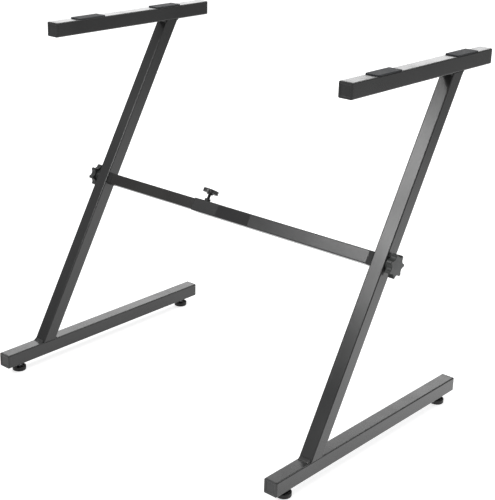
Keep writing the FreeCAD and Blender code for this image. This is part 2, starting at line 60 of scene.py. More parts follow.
# %% [markdown]
# The camera stands where the photographer stood, to the right of the stand and
# above its arms. A camera object looks along its own -Z with +Y up, so its
# rotation is a matrix whose columns are its right, its up and the direction
# from the scene back to it. A long lens keeps the two frames nearly parallel,
# as they are in the photograph.

# %% Camera
CAMERA_PLACE = Vector((1.3103, -1.4864, 0.9923))
CAMERA_RIGHT = Vector((0.7531, 0.6574, 0.0251))
CAMERA_UP = Vector((-0.2464, 0.2465, 0.9373))
CAMERA_LENS = 87.47
CAMERA_REACH = 50


def turned_to(right, up):
    """The rotation of a camera with these directions to its right and its top."""
    back = right.cross(up).normalized()
    right = right.normalized()
    up = back.cross(right)
    return Matrix((right, up, back)).transposed()


bpy.ops.object.camera_add(location=CAMERA_PLACE)
camera = bpy.context.object
camera.rotation_euler = turned_to(CAMERA_RIGHT, CAMERA_UP).to_euler()
camera.data.lens = CAMERA_LENS
camera.data.clip_end = CAMERA_REACH
bpy.context.scene.camera = camera
print("camera lens:", round(camera.data.lens, 2), "mm")

# %% [markdown]
# The studio is a white floor under a big soft light. The floor must come out
# white in the picture without lighting the stand more than white paper would,
# so its material adds a glow for the camera and for reflections only. The
# camera sees an even glow on top of the real shading, so the contact shadows
# under the feet stay. A reflection sees a pool of light that is brightest
# behind the right frame and fades with distance from there, which is what the
# sides of the tubes mirror.

# %% Floor
FLOOR_SIZE = 120
FLOOR_PAPER = (0.72, 0.72, 0.72, 1)
WHITE = (1, 1, 1, 1)
CAMERA_GLOW = 0.68
POOL_GLOW = 1.35
POOL_CENTRE = (0.5, 0.35, 0.0)
POOL_INNER = 0.1
POOL_OUTER = 1.7


def new_material(name):
    """An empty node material and its output node."""
    material = bpy.data.materials.new(name)
    material.use_nodes = True
    nodes = material.node_tree.nodes
    nodes.clear()
    output = nodes.new("ShaderNodeOutputMaterial")
    return material, output


bpy.ops.object.select_all(action="DESELECT")
bpy.ops.mesh.primitive_plane_add(size=FLOOR_SIZE)
floor = bpy.context.object
floor.name = "studio_floor"
floor_paint, output = new_material("studio floor")
nodes = floor_paint.node_tree.nodes
links = floor_paint.node_tree.links
paper = nodes.new("ShaderNodeBsdfDiffuse")
paper.inputs["Color"].default_value = FLOOR_PAPER
glow = nodes.new("ShaderNodeEmission")
glow.inputs["Color"].default_value = WHITE
both = nodes.new("ShaderNodeAddShader")
seen = nodes.new("ShaderNodeMixShader")
links.new(paper.outputs["BSDF"], both.inputs[0])
links.new(glow.outputs["Emission"], both.inputs[1])
links.new(paper.outputs["BSDF"], seen.inputs[1])
links.new(both.outputs["Shader"], seen.inputs[2])
links.new(seen.outputs["Shader"], output.inputs["Surface"])
floor.data.materials.append(floor_paint)
print("floor:", FLOOR_SIZE, "m square")

# %% [markdown]
# The Light Path node tells what kind of ray has met the floor. Camera rays,
# glossy rays and transmission rays see the glow. Its strength is the camera's
# even one for camera rays, and for the others it falls off with the distance
# from the pool's middle, which lies on the floor behind the right frame.

# %% Floor glow
rays = nodes.new("ShaderNodeLightPath")
reflected = nodes.new("ShaderNodeMath")
reflected.operation = "MAXIMUM"
any_seen = nodes.new("ShaderNodeMath")
any_seen.operation = "MAXIMUM"
links.new(rays.outputs["Is Glossy Ray"], reflected.inputs[0])
links.new(rays.outputs["Is Transmission Ray"], reflected.inputs[1])
links.new(rays.outputs["Is Camera Ray"], any_seen.inputs[0])
links.new(reflected.outputs["Value"], any_seen.inputs[1])
links.new(any_seen.outputs["Value"], seen.inputs["Fac"])
on_floor = nodes.new("ShaderNodeTexCoord")
distance = nodes.new("ShaderNodeVectorMath")
distance.operation = "DISTANCE"
distance.inputs[1].default_value = POOL_CENTRE
pool = nodes.new("ShaderNodeMapRange")
pool.inputs["From Min"].default_value = POOL_INNER
pool.inputs["From Max"].default_value = POOL_OUTER
pool.inputs["To Min"].default_value = POOL_GLOW
pool.inputs["To Max"].default_value = 0.0
strength = nodes.new("ShaderNodeMix")
strength.data_type = "FLOAT"
strength.inputs["B"].default_value = CAMERA_GLOW
links.new(on_floor.outputs["Object"], distance.inputs[0])
links.new(distance.outputs["Value"], pool.inputs["Value"])
links.new(rays.outputs["Is Camera Ray"], strength.inputs["Factor"])
links.new(pool.outputs["Result"], strength.inputs["A"])
links.new(strength.outputs["Result"], glow.inputs["Strength"])
print("floor glow:", CAMERA_GLOW, "to the camera,", POOL_GLOW, "to reflections near the stand")

# %% [markdown]
# A studio softbox is a large glowing sheet. What it lights matters less here
# than what it looks like in the satin paint: a softbox in front makes the
# light band on the uprights, one behind makes the tops of the tubes shine, a
# dim one at the right lifts the dark sides, and a small high one behind draws a
# fine line along the rounded edges. Each is an area lamp, aimed at the stand,
# that the camera can't see. Its power grows with its area, so the helper takes
# the brightness of the sheet itself and works the power out.

# %% Softboxes
STAND_MIDDLE = Vector((0, 0, 0.32))
WATTS_PER_AREA = 4


def softbox(name, place, width, height, brightness):
    """A glowing sheet aimed at the stand; brightness 1 is as white paper."""
    bpy.ops.object.light_add(type="AREA", location=place)
    lamp = bpy.context.object
    lamp.name = name
    lamp.data.shape = "RECTANGLE"
    lamp.data.size = width
    lamp.data.size_y = height
    lamp.data.energy = WATTS_PER_AREA * width * height * brightness
    aim = STAND_MIDDLE - Vector(place)
    lamp.rotation_euler = aim.to_track_quat("-Z", "Y").to_euler()
    lamp.visible_camera = False
    return lamp


bpy.ops.object.select_all(action="DESELECT")
front_box = softbox("front_softbox", (-0.81, -2.32, 2.2), 1.7, 0.85, 7.4)
rear_box = softbox("rear_softbox", (-2.2, 2.5, 1.35), 2.6, 1.4, 1.7)
side_box = softbox("side_softbox", (2.6, 0.7, 1.2), 1.6, 1.6, 0.6)
edge_box = softbox("edge_softbox", (0.6, 1.7, 2.25), 1.0, 0.6, 3.5)
for lamp in (front_box, rear_box, side_box, edge_box):
    print(lamp.name, round(lamp.data.energy), "W")

# %% [markdown]
# The room's own light is the world: dim at the horizon and brighter overhead,
# like a white ceiling. A colour ramp over the height of the direction does
# that.

# %% Room light
HORIZON = (0.2, 0.2, 0.208, 1)
OVERHEAD = (0.8, 0.8, 0.8, 1)
HORIZON_UNTIL = 0.1
OVERHEAD_FROM = 0.85

world = bpy.data.worlds.new("studio room")
bpy.context.scene.world = world
world.use_nodes = True
nodes = world.node_tree.nodes
links = world.node_tree.links
nodes.clear()
direction = nodes.new("ShaderNodeTexCoord")
height = nodes.new("ShaderNodeSeparateXYZ")
ceiling = nodes.new("ShaderNodeValToRGB")
ceiling.color_ramp.elements[0].position = HORIZON_UNTIL
ceiling.color_ramp.elements[0].color = HORIZON
ceiling.color_ramp.elements[1].position = OVERHEAD_FROM
ceiling.color_ramp.elements[1].color = OVERHEAD
sky = nodes.new("ShaderNodeBackground")
sky_output = nodes.new("ShaderNodeOutputWorld")
links.new(direction.outputs["Generated"], height.inputs["Vector"])
links.new(height.outputs["Z"], ceiling.inputs["Fac"])
links.new(ceiling.outputs["Color"], sky.inputs["Color"])
links.new(sky.outputs["Background"], sky_output.inputs["Surface"])
bpy.context.scene.view_settings.view_transform = "Standard"
print("room light from", HORIZON[0], "at the horizon to", OVERHEAD[0], "overhead")

# %% [markdown]
# Every finish on the stand is a material of nodes. What several of them need,
# such as the look of worn edges, is a node group: a box with its own inputs
# and outputs that is built once and used in each. This helper makes an empty
# group with its sockets.

# %% Helper for node groups
def new_group(name, inputs, outputs):
    """A node group with these inputs, each with its first value, and outputs."""
    group = bpy.data.node_groups.new(name, "ShaderNodeTree")
    for label, kind, value in inputs:
        socket = group.interface.new_socket(name=label, in_out="INPUT", socket_type=kind)
        socket.default_value = value
    for label, kind in outputs:
        group.interface.new_socket(name=label, in_out="OUTPUT", socket_type=kind)
    entry = group.nodes.new("NodeGroupInput")
    result = group.nodes.new("NodeGroupOutput")
    return group, entry, result


def place_group(material, group, **values):
    """One use of a group in a material, with its own values."""
    node = material.node_tree.nodes.new("ShaderNodeGroup")
    node.node_tree = group
    for label, value in values.items():
        node.inputs[label.replace("_", " ")].default_value = value
    return node


def noise(tree, vector, scale, detail):
    """A noise of a given scale, in patches per metre, at a place."""
    node = tree.nodes.new("ShaderNodeTexNoise")
    node.inputs["Scale"].default_value = scale
    node.inputs["Detail"].default_value = detail
    tree.links.new(vector, node.inputs["Vector"])
    return node.outputs["Fac"]


def math_node(tree, operation, first, second):
    """A sum, product or the like of two sockets, or of a socket and a number."""
    node = tree.nodes.new("ShaderNodeMath")
    node.operation = operation
    for place, value in enumerate((first, second)):
        if isinstance(value, (int, float)):
            node.inputs[place].default_value = value
        else:
            tree.links.new(value, node.inputs[place])
    return node.outputs["Value"]


def spread(tree, value, low, high, to_low=0.0, to_high=1.0):
    """Stretches the part of a value between low and high to a new range."""
    node = tree.nodes.new("ShaderNodeMapRange")
    node.inputs["From Min"].default_value = low
    node.inputs["From Max"].default_value = high
    node.inputs["To Min"].default_value = to_low
    node.inputs["To Max"].default_value = to_high
    tree.links.new(value, node.inputs["Value"])
    return node.outputs["Result"]


def blend_colour(tree, factor, first, second):
    """One colour where the factor is 0, another where it is 1."""
    node = tree.nodes.new("ShaderNodeMix")
    node.data_type = "RGBA"
    tree.links.new(factor, node.inputs["Factor"])
    for label, value in (("A", first), ("B", second)):
        socket = [item for item in node.inputs if item.name == label and item.type == "RGBA"][0]
        if isinstance(value, tuple):
            socket.default_value = (*value, 1)
        else:
            tree.links.new(value, socket)
    return [item for item in node.outputs if item.type == "RGBA"][0]


print("helpers for materials are ready")

# %% [markdown]
# Paint wears off first where hands, cases and floors touch it: on the edges.
# The Bevel node gives the normal that a surface would have if its edges were
# rounded. Where that differs from the real normal there is an edge, and a
# noise breaks the edge up, so that it wears in patches.

# %% Node group: worn edges
BEVEL_SAMPLES = 6
EDGE_FROM = 0.03
EDGE_FULL = 0.22
PATCH_BLUR = 0.12

edge_wear, entry, result = new_group(
    "worn edges",
    [("Width", "NodeSocketFloat", 0.0012), ("Patch Scale", "NodeSocketFloat", 60.0),
     ("Patch Share", "NodeSocketFloat", 0.5)],
    [("Mask", "NodeSocketFloat"), ("Soft Normal", "NodeSocketVector")],
)
rounded = edge_wear.nodes.new("ShaderNodeBevel")
rounded.samples = BEVEL_SAMPLES
real = edge_wear.nodes.new("ShaderNodeNewGeometry")
facing = edge_wear.nodes.new("ShaderNodeVectorMath")
facing.operation = "DOT_PRODUCT"
place = edge_wear.nodes.new("ShaderNodeTexCoord")
patches = edge_wear.nodes.new("ShaderNodeTexNoise")
patches.inputs["Detail"].default_value = 6
patches.inputs["Roughness"].default_value = 0.7
edge_wear.links.new(entry.outputs["Width"], rounded.inputs["Radius"])
edge_wear.links.new(entry.outputs["Patch Scale"], patches.inputs["Scale"])
edge_wear.links.new(place.outputs["Object"], patches.inputs["Vector"])
edge_wear.links.new(rounded.outputs["Normal"], facing.inputs[0])
edge_wear.links.new(real.outputs["True Normal"], facing.inputs[1])
turned = math_node(edge_wear, "SUBTRACT", 1.0, facing.outputs["Value"])
edge = spread(edge_wear, turned, EDGE_FROM, EDGE_FULL)
share = math_node(edge_wear, "SUBTRACT", 1.0, entry.outputs["Patch Share"])
above = math_node(edge_wear, "SUBTRACT", patches.outputs["Fac"], share)
broken = spread(edge_wear, above, 0.0, PATCH_BLUR)
mask = math_node(edge_wear, "MULTIPLY", edge, broken)
edge_wear.links.new(mask, result.inputs["Mask"])
edge_wear.links.new(rounded.outputs["Normal"], result.inputs["Soft Normal"])
print("node group:", edge_wear.name)

# %% [markdown]
# Powder coat is sprayed on as dry powder and baked, and it doesn't level out
# completely: it keeps a fine waviness, called orange peel, with smaller specks
# in it. Two noises at different scales make the height, and a much larger and
# softer one makes the gloss drift a little along a tube. Dust that settled on
# top and the marks of hands come from the same group, as masks. The dust's
# edge is a smooth step, because a hard one shows in the gloss as a fine crack.

# %% Node group: baked coat
SPECK_SCALE = 2600.0
SPECK_HEIGHT = 0.25
DUST_SCALE = 38.0
SCUFF_STRETCH = (260.0, 22.0, 22.0)

baked_coat, entry, result = new_group(
    "baked coat",
    [("Peel Scale", "NodeSocketFloat", 900.0), ("Drift Scale", "NodeSocketFloat", 9.0)],
    [("Height", "NodeSocketFloat"), ("Drift", "NodeSocketFloat"),
     ("Dust", "NodeSocketFloat"), ("Scuffs", "NodeSocketFloat")],
)
place = baked_coat.nodes.new("ShaderNodeTexCoord")
spot = place.outputs["Object"]
peel = baked_coat.nodes.new("ShaderNodeTexNoise")
peel.inputs["Detail"].default_value = 3
drift = baked_coat.nodes.new("ShaderNodeTexNoise")
drift.inputs["Detail"].default_value = 2
for node, label in ((peel, "Peel Scale"), (drift, "Drift Scale")):
    baked_coat.links.new(entry.outputs[label], node.inputs["Scale"])
    baked_coat.links.new(spot, node.inputs["Vector"])
specks = noise(baked_coat, spot, SPECK_SCALE, detail=1.0)
small = math_node(baked_coat, "MULTIPLY", specks, SPECK_HEIGHT)
height = math_node(baked_coat, "ADD", peel.outputs["Fac"], small)
baked_coat.links.new(height, result.inputs["Height"])
soft_drift = spread(baked_coat, drift.outputs["Fac"], 0.3, 0.7)
baked_coat.links.new(soft_drift, result.inputs["Drift"])
real = baked_coat.nodes.new("ShaderNodeNewGeometry")
parts = baked_coat.nodes.new("ShaderNodeSeparateXYZ")
baked_coat.links.new(real.outputs["Normal"], parts.inputs["Vector"])
upward = spread(baked_coat, parts.outputs["Z"], 0.55, 1.0)
cloud = spread(baked_coat, noise(baked_coat, spot, DUST_SCALE, detail=7.0), 0.42, 0.72)
cloud.node.interpolation_type = "SMOOTHSTEP"
dust = math_node(baked_coat, "MULTIPLY", upward, cloud)
baked_coat.links.new(dust, result.inputs["Dust"])
stretch = baked_coat.nodes.new("ShaderNodeMapping")
stretch.inputs["Scale"].default_value = SCUFF_STRETCH
baked_coat.links.new(spot, stretch.inputs["Vector"])
streaks = noise(baked_coat, stretch.outputs["Vector"], 1.0, detail=5.0)
scuffs = spread(baked_coat, streaks, 0.66, 0.74)
baked_coat.links.new(scuffs, result.inputs["Scuffs"])
print("node group:", baked_coat.name)

# %% [markdown]
# Moulded plastic and rubber copy the skin of their steel mould, which is spark
# eroded to a fine leathery grain. A cell pattern (Voronoi) with a noise over
# it gives that height; a slow noise gives the flow marks that make a black
# part a little uneven in gloss.

# %% Node group: moulded skin
ROUGH_SCALE = 2200.0
MOTE_SCALE = 700.0

moulded_skin, entry, result = new_group(
    "moulded skin",
    [("Grain Scale", "NodeSocketFloat", 1400.0), ("Flow Scale", "NodeSocketFloat", 45.0)],
    [("Height", "NodeSocketFloat"), ("Flow", "NodeSocketFloat"), ("Dust", "NodeSocketFloat")],
)
place = moulded_skin.nodes.new("ShaderNodeTexCoord")
spot = place.outputs["Object"]
cells = moulded_skin.nodes.new("ShaderNodeTexVoronoi")
cells.inputs["Randomness"].default_value = 0.9
flow = moulded_skin.nodes.new("ShaderNodeTexNoise")
flow.inputs["Detail"].default_value = 4
for node, label in ((cells, "Grain Scale"), (flow, "Flow Scale")):
    moulded_skin.links.new(entry.outputs[label], node.inputs["Scale"])
    moulded_skin.links.new(spot, node.inputs["Vector"])
rough = noise(moulded_skin, spot, ROUGH_SCALE, detail=3.0)
height = math_node(moulded_skin, "ADD", cells.outputs["Distance"], rough)
moulded_skin.links.new(height, result.inputs["Height"])
soft_flow = spread(moulded_skin, flow.outputs["Fac"], 0.35, 0.65)
moulded_skin.links.new(soft_flow, result.inputs["Flow"])
motes = spread(moulded_skin, noise(moulded_skin, spot, MOTE_SCALE, detail=8.0), 0.6, 0.75)
moulded_skin.links.new(motes, result.inputs["Dust"])
print("node group:", moulded_skin.name)

# %% [markdown]
# The tubes' finish is a satin dark grey powder coat. The paint itself is a
# shader with a fixed gloss; the groups only vary its colour and roughness a
# little, lighten it where dust lies, and let steel show at a few worn edges.

# %% Material: painted tube
BARE_STEEL = (0.32, 0.31, 0.3)
PAINT_IOR = 1.5
DRIFT_TINT = 1.35
DUST_TINT = 1.6
DUST_LIFT = 0.03
COAT_DUST = 0.45
COAT_BUMP = 0.12
COAT_RELIEF = 0.1 * MM


def painted_steel(name, paint, gloss, wear_share, scuff_depth):
    """Powder coat of one colour; gloss is its roughness, low for shiny."""
    material, output = new_material(name)
    tree = material.node_tree
    shader = tree.nodes.new("ShaderNodeBsdfPrincipled")
    shader.inputs["IOR"].default_value = PAINT_IOR
    wear = place_group(material, edge_wear, Width=0.0012, Patch_Scale=70.0,
                       Patch_Share=wear_share)
    coat = place_group(material, baked_coat)
    light_paint = tuple(min(1.0, value * DRIFT_TINT) for value in paint)
    dusty = tuple(min(1.0, value * DUST_TINT + DUST_LIFT) for value in paint)
    tone = blend_colour(tree, coat.outputs["Drift"], paint, light_paint)
    dust = math_node(tree, "MULTIPLY", coat.outputs["Dust"], COAT_DUST)
    tone = blend_colour(tree, dust, tone, dusty)
    scuffs = math_node(tree, "MULTIPLY", coat.outputs["Scuffs"], scuff_depth)
    tone = blend_colour(tree, scuffs, tone, dusty)
    tone = blend_colour(tree, wear.outputs["Mask"], tone, BARE_STEEL)
    tree.links.new(tone, shader.inputs["Base Color"])
    rough = spread(tree, coat.outputs["Drift"], 0.0, 1.0, gloss - 0.03, gloss + 0.04)
    rough = math_node(tree, "ADD", rough, math_node(tree, "MULTIPLY", dust, 0.18))
    rough = math_node(tree, "ADD", rough, math_node(tree, "MULTIPLY", scuffs, 0.2))
    tree.links.new(rough, shader.inputs["Roughness"])
    tree.links.new(wear.outputs["Mask"], shader.inputs["Metallic"])
    bump = tree.nodes.new("ShaderNodeBump")
    bump.inputs["Strength"].default_value = COAT_BUMP
    bump.inputs["Distance"].default_value = COAT_RELIEF
    tree.links.new(coat.outputs["Height"], bump.inputs["Height"])
    tree.links.new(wear.outputs["Soft Normal"], bump.inputs["Normal"])
    tree.links.new(bump.outputs["Normal"], shader.inputs["Normal"])
    tree.links.new(shader.outputs["BSDF"], output.inputs["Surface"])
    return material


frame_paint = painted_steel("frame powder coat", (0.018, 0.0183, 0.0182), 0.23, 0.42, 0.04)
outer_paint = painted_steel("outer tube powder coat", (0.020, 0.0203, 0.0205), 0.23, 0.42, 0.04)
print("paint:", frame_paint.name, "and", outer_paint.name)

# %% [markdown]
# The inner tube slides in the outer one, so its paint carries long fine lines
# along the bar, and the thumb screw has rubbed a bright track on its upper
# side. Both come from where a point lies, in the tube's own directions: the
# crossbar is turned 30 degrees with the uprights, and a Mapping node turns the
# coordinates the same way.

# %% Material: inner tube
BAR_TURN = math.radians(-30)
RUBBED_STEEL = (0.28, 0.27, 0.26)
TRACK_END = 85 * MM
TRACK_FADE = 35 * MM
TRACK_OUTER = 2.6 * MM
TRACK_INNER = 1.6 * MM
TOP_FROM = 9.4 * MM
TOP_FULL = 9.9 * MM
LINE_STRETCH = (60.0, 900.0, 900.0)

bar_axis = Vector((0, 0, (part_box("crossbar_inner_tube")[0][2]
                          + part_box("crossbar_inner_tube")[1][2]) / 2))
screw_low, screw_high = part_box("thumb_screw_shank")
track_end = (screw_low[0] + screw_high[0]) / 2 - TRACK_END
inner_paint = painted_steel("inner tube powder coat", (0.009, 0.0083, 0.0073), 0.28, 0.45, 0.2)
tree = inner_paint.node_tree
shader = [node for node in tree.nodes if node.type == "BSDF_PRINCIPLED"][0]
tube_place = tree.nodes.new("ShaderNodeTexCoord")
in_bar = tree.nodes.new("ShaderNodeMapping")
in_bar.vector_type = "TEXTURE"
in_bar.inputs["Location"].default_value = bar_axis
in_bar.inputs["Rotation"].default_value = (BAR_TURN, 0, 0)
spot = tree.nodes.new("ShaderNodeSeparateXYZ")
tree.links.new(tube_place.outputs["Object"], in_bar.inputs["Vector"])
tree.links.new(in_bar.outputs["Vector"], spot.inputs["Vector"])
from_middle = math_node(tree, "ABSOLUTE", spot.outputs["Y"], 0.0)
on_track = spread(tree, from_middle, TRACK_OUTER, TRACK_INNER)
on_top = spread(tree, spot.outputs["Z"], TOP_FROM, TOP_FULL)
near_screw = spread(tree, spot.outputs["X"], track_end, track_end + TRACK_FADE)
rub = math_node(tree, "MULTIPLY", math_node(tree, "MULTIPLY", on_track, on_top), near_screw)
chatter = tree.nodes.new("ShaderNodeMapping")
chatter.inputs["Scale"].default_value = LINE_STRETCH
tree.links.new(in_bar.outputs["Vector"], chatter.inputs["Vector"])
lines = spread(tree, noise(tree, chatter.outputs["Vector"], 1.0, detail=4.0), 0.4, 0.6)
rub = math_node(tree, "MULTIPLY", rub, lines)
painted = shader.inputs["Base Color"].links[0].from_socket
tree.links.new(blend_colour(tree, rub, painted, RUBBED_STEEL), shader.inputs["Base Color"])
print("rubbed track ends", round(track_end / MM), "mm from the middle")

# %% [markdown]
# The plugs, the end blocks, the thumb screw's head and the star knobs are
# moulded in black plastic; the pads and the feet are rubber. All of them are
# the same kind of surface, a dark one with a fine grain, and differ in colour,
# gloss and the size of the grain. Rubber also turns a little grey with dust,
# which stays in its grain.

# %% Materials: moulded parts
FLOW_TINT = 1.25
GRAIN_DUST_TINT = 1.5
GRAIN_BUMP = 0.35


def moulded(name, colour, gloss, grain, depth, dust_share, ior=1.47):
    """Plastic or rubber; grain is cells per metre, depth that of the grain."""
    material, output = new_material(name)
    tree = material.node_tree
    shader = tree.nodes.new("ShaderNodeBsdfPrincipled")
    shader.inputs["IOR"].default_value = ior
    wear = place_group(material, edge_wear, Width=0.0006, Patch_Scale=150.0, Patch_Share=0.5)
    skin = place_group(material, moulded_skin, Grain_Scale=grain)
    flowed = tuple(value * FLOW_TINT for value in colour)
    dusty = tuple(value * GRAIN_DUST_TINT + DUST_LIFT for value in colour)
    tone = blend_colour(tree, skin.outputs["Flow"], colour, flowed)
    dust = math_node(tree, "MULTIPLY", skin.outputs["Dust"], dust_share)
    tone = blend_colour(tree, dust, tone, dusty)
    rubbed = math_node(tree, "MULTIPLY", wear.outputs["Mask"], 0.5)
    tone = blend_colour(tree, rubbed, tone, dusty)
    tree.links.new(tone, shader.inputs["Base Color"])
    rough = spread(tree, skin.outputs["Flow"], 0.0, 1.0, gloss - 0.04, gloss + 0.05)
    rough = math_node(tree, "ADD", rough, math_node(tree, "MULTIPLY", dust, 0.2))
    rough = math_node(tree, "SUBTRACT", rough, math_node(tree, "MULTIPLY", rubbed, 0.15))
    tree.links.new(rough, shader.inputs["Roughness"])
    bump = tree.nodes.new("ShaderNodeBump")
    bump.inputs["Strength"].default_value = GRAIN_BUMP
    bump.inputs["Distance"].default_value = depth
    tree.links.new(skin.outputs["Height"], bump.inputs["Height"])
    tree.links.new(wear.outputs["Soft Normal"], bump.inputs["Normal"])
    tree.links.new(bump.outputs["Normal"], shader.inputs["Normal"])
    tree.links.new(shader.outputs["BSDF"], output.inputs["Surface"])
    return material


plug_plastic = moulded("plug plastic", (0.015, 0.0153, 0.0155), 0.42, 1500.0, 0.00005, 0.25)
block_plastic = moulded("end block plastic", (0.007, 0.007, 0.007), 0.5, 1300.0, 0.00005, 0.2,
                        ior=1.38)
head_plastic = moulded("thumb screw plastic", (0.022, 0.022, 0.022), 0.36, 1300.0, 0.00004, 0.2)
knob_plastic = moulded("star knob plastic", (0.021, 0.023, 0.022), 0.42, 1100.0, 0.00006, 0.3)
pad_rubber = moulded("pad rubber", (0.030, 0.032, 0.035), 0.66, 900.0, 0.00008, 0.4, ior=1.36)
foot_rubber = moulded("foot rubber", (0.007, 0.007, 0.007), 0.5, 1000.0, 0.00006, 0.15, ior=1.38)
label_film = moulded("label film", (0.011, 0.011, 0.0115), 0.5, 2500.0, 0.00002, 0.1, ior=1.33)
moulded_finishes = (plug_plastic, block_plastic, head_plastic, knob_plastic, pad_rubber,
                    foot_rubber, label_film)
print("moulded finishes:", ", ".join(finish.name for finish in moulded_finishes))

# %% [markdown]
# Studs and bolts are zinc plated steel: a metal, so its colour is that of its
# reflections, a little cloudy and a little blue. The thumb screw is the same
# steel, blackened.

# %% Materials: plated and blackened steel
CLOUD_TINT = 0.75
CLOUD_ROUGHNESS = 0.12
BRIGHT_TINT = 1.3
BRIGHT_LIFT = 0.02
METAL_BUMP = 0.2
METAL_RELIEF = 0.03 * MM


def plated(name, colour, gloss, metal):
    """A clouded metal; metal is its share of metallic reflection."""
    material, output = new_material(name)
    tree = material.node_tree
    shader = tree.nodes.new("ShaderNodeBsdfPrincipled")
    shader.inputs["Metallic"].default_value = metal
    wear = place_group(material, edge_wear, Width=0.0003, Patch_Scale=300.0, Patch_Share=0.55)
    skin = place_group(material, moulded_skin, Grain_Scale=2500.0, Flow_Scale=120.0)
    clouded = tuple(value * CLOUD_TINT for value in colour)
    bright = tuple(min(1.0, value * BRIGHT_TINT + BRIGHT_LIFT) for value in colour)
    tone = blend_colour(tree, skin.outputs["Flow"], colour, clouded)
    tone = blend_colour(tree, wear.outputs["Mask"], tone, bright)
    tree.links.new(tone, shader.inputs["Base Color"])
    rough = spread(tree, skin.outputs["Flow"], 0.0, 1.0, gloss, gloss + CLOUD_ROUGHNESS)
    tree.links.new(rough, shader.inputs["Roughness"])
    bump = tree.nodes.new("ShaderNodeBump")
    bump.inputs["Strength"].default_value = METAL_BUMP
    bump.inputs["Distance"].default_value = METAL_RELIEF
    tree.links.new(skin.outputs["Height"], bump.inputs["Height"])
    tree.links.new(bump.outputs["Normal"], shader.inputs["Normal"])
    tree.links.new(shader.outputs["BSDF"], output.inputs["Surface"])
    return material


zinc = plated("zinc plated steel", (0.56, 0.57, 0.6), 0.28, 1.0)
black_steel = plated("blackened steel", (0.05, 0.05, 0.052), 0.35, 0.6)
print("steel finishes:", zinc.name, "and", black_steel.name)

# %% [markdown]
# Each CAD node now gets its finish. A node's name says what it is, so a list of
# name endings and finishes is enough.

# %% Finishes for the CAD nodes
NODE_FINISHES = {
    "foot_tube": frame_paint,
    "upright_tube": frame_paint,
    "arm_tube": frame_paint,
    "weld_beads": frame_paint,
    "crossbar_outer_tube": outer_paint,
    "crossbar_weld_nut": outer_paint,
    "crossbar_inner_tube": inner_paint,
    "plug": plug_plastic,
    "end_block": block_plastic,
    "star_knob": knob_plastic,
    "thumb_screw_head": head_plastic,
    "clamp_bolt": zinc,
    "foot_stud": zinc,
    "thumb_screw_shank": black_steel,
    "pad": pad_rubber,
    "foot_disc": foot_rubber,
}


def finish_of(node):
    """The finish of a node, found by the longest ending that fits its name."""
    endings = [ending for ending in NODE_FINISHES if node.endswith(ending)]
    return NODE_FINISHES[max(endings, key=len)]


for name, item in frame["nodes"].items():
    item.data.materials.clear()
    item.data.materials.append(finish_of(name))
print("nodes with a finish:", len(frame["nodes"]))

# %% [markdown]
# Everything that is modelled below starts the same way: nothing is selected,
# a primitive or a copy of a CAD node's mesh becomes the one active piece, and
# its faces or edges are picked by where they lie. These helpers do that. A
# finished piece has its place in its mesh and its object at the origin.

# %% Helpers for modelling
def only(piece):
    """Makes a piece the one selected and active object."""
    bpy.ops.object.select_all(action="DESELECT")
    piece.select_set(True)
    bpy.context.view_layer.objects.active = piece


def pick(kind, wanted):
    """In edit mode, selects the active piece's faces, edges or points that
    meet a test."""
    mesh = bpy.context.object.data
    bpy.ops.mesh.select_mode(type={"faces": "FACE", "edges": "EDGE", "points": "VERT"}[kind])
    bpy.ops.mesh.select_all(action="DESELECT")
    bpy.ops.object.mode_set(mode="OBJECT")
    items = {"faces": mesh.polygons, "edges": mesh.edges, "points": mesh.vertices}[kind]
    chosen = [item for item in items if wanted(item)]
    for item in chosen:
        item.select = True
    bpy.ops.object.mode_set(mode="EDIT")


def ends_of(edge):
    """The two ends of an edge of the active piece."""
    points = bpy.context.object.data.vertices
    return points[edge.vertices[0]].co, points[edge.vertices[1]].co


def along(edge, axis):
    """Whether an edge runs along one axis, given as 0, 1 or 2 for X, Y or Z."""
    first, last = ends_of(edge)
    step = last - first
    return abs(step[axis]) > 0.999 * step.length


def block(name, low, high):
    """A box between two corners, with its place in its mesh."""
    bpy.ops.object.select_all(action="DESELECT")
    bpy.ops.mesh.primitive_cube_add(size=1)
    piece = bpy.context.object
    piece.name = name
    low, high = Vector(low), Vector(high)
    piece.scale = high - low
    piece.location = (low + high) / 2
    bpy.ops.object.transform_apply(location=True, rotation=True, scale=True)
    return piece


def copied(piece, name, move, turn=0.0, axis="Z"):
    """A copy with its own mesh, turned about an axis and then moved."""
    twin = piece.copy()
    twin.data = piece.data.copy()
    twin.name = name
    bpy.context.scene.collection.objects.link(twin)
    twin.data.transform(Matrix.Translation(move) @ Matrix.Rotation(turn, 4, axis))
    return twin


def smooth(piece, angle):
    """Smooth shading that leaves large flat faces flat: each point's normal
    follows the larger of the faces round it."""
    only(piece)
    bpy.ops.object.shade_smooth_by_angle(angle=math.radians(angle))
    bpy.ops.object.modifier_add(type="WEIGHTED_NORMAL")
    weighing = piece.modifiers[-1]
    weighing.keep_sharp = True
    bpy.ops.object.modifier_apply(modifier=weighing.name)


def dress(piece, node, finish):
    """Gives a piece its finish and lets it stand for a CAD node."""
    piece.data.materials.clear()
    piece.data.materials.append(finish)
    body = [name for name, nodes in bodies.items() if node in nodes][0]
    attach(piece, body)
    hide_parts(node)


record = frame["record"]
bodies = record["behaviour"]["bodies"]
print("bodies:", len(bodies))

# %% [markdown]
# The pads are strips of soft rubber, glued on the arms. Real ones have rounded
# corners and an edge that the knife or the mould left soft. One is made at the
# origin: a box whose upright edges and then whose top edges are bevelled. The
# other three are copies.

# %% Rubber pads
PAD_CORNER = 2.4 * MM
PAD_SOFTNESS = 0.8 * MM
PAD_NODES = [f"{side}_{end}_pad" for side in SIDES for end in ENDS]

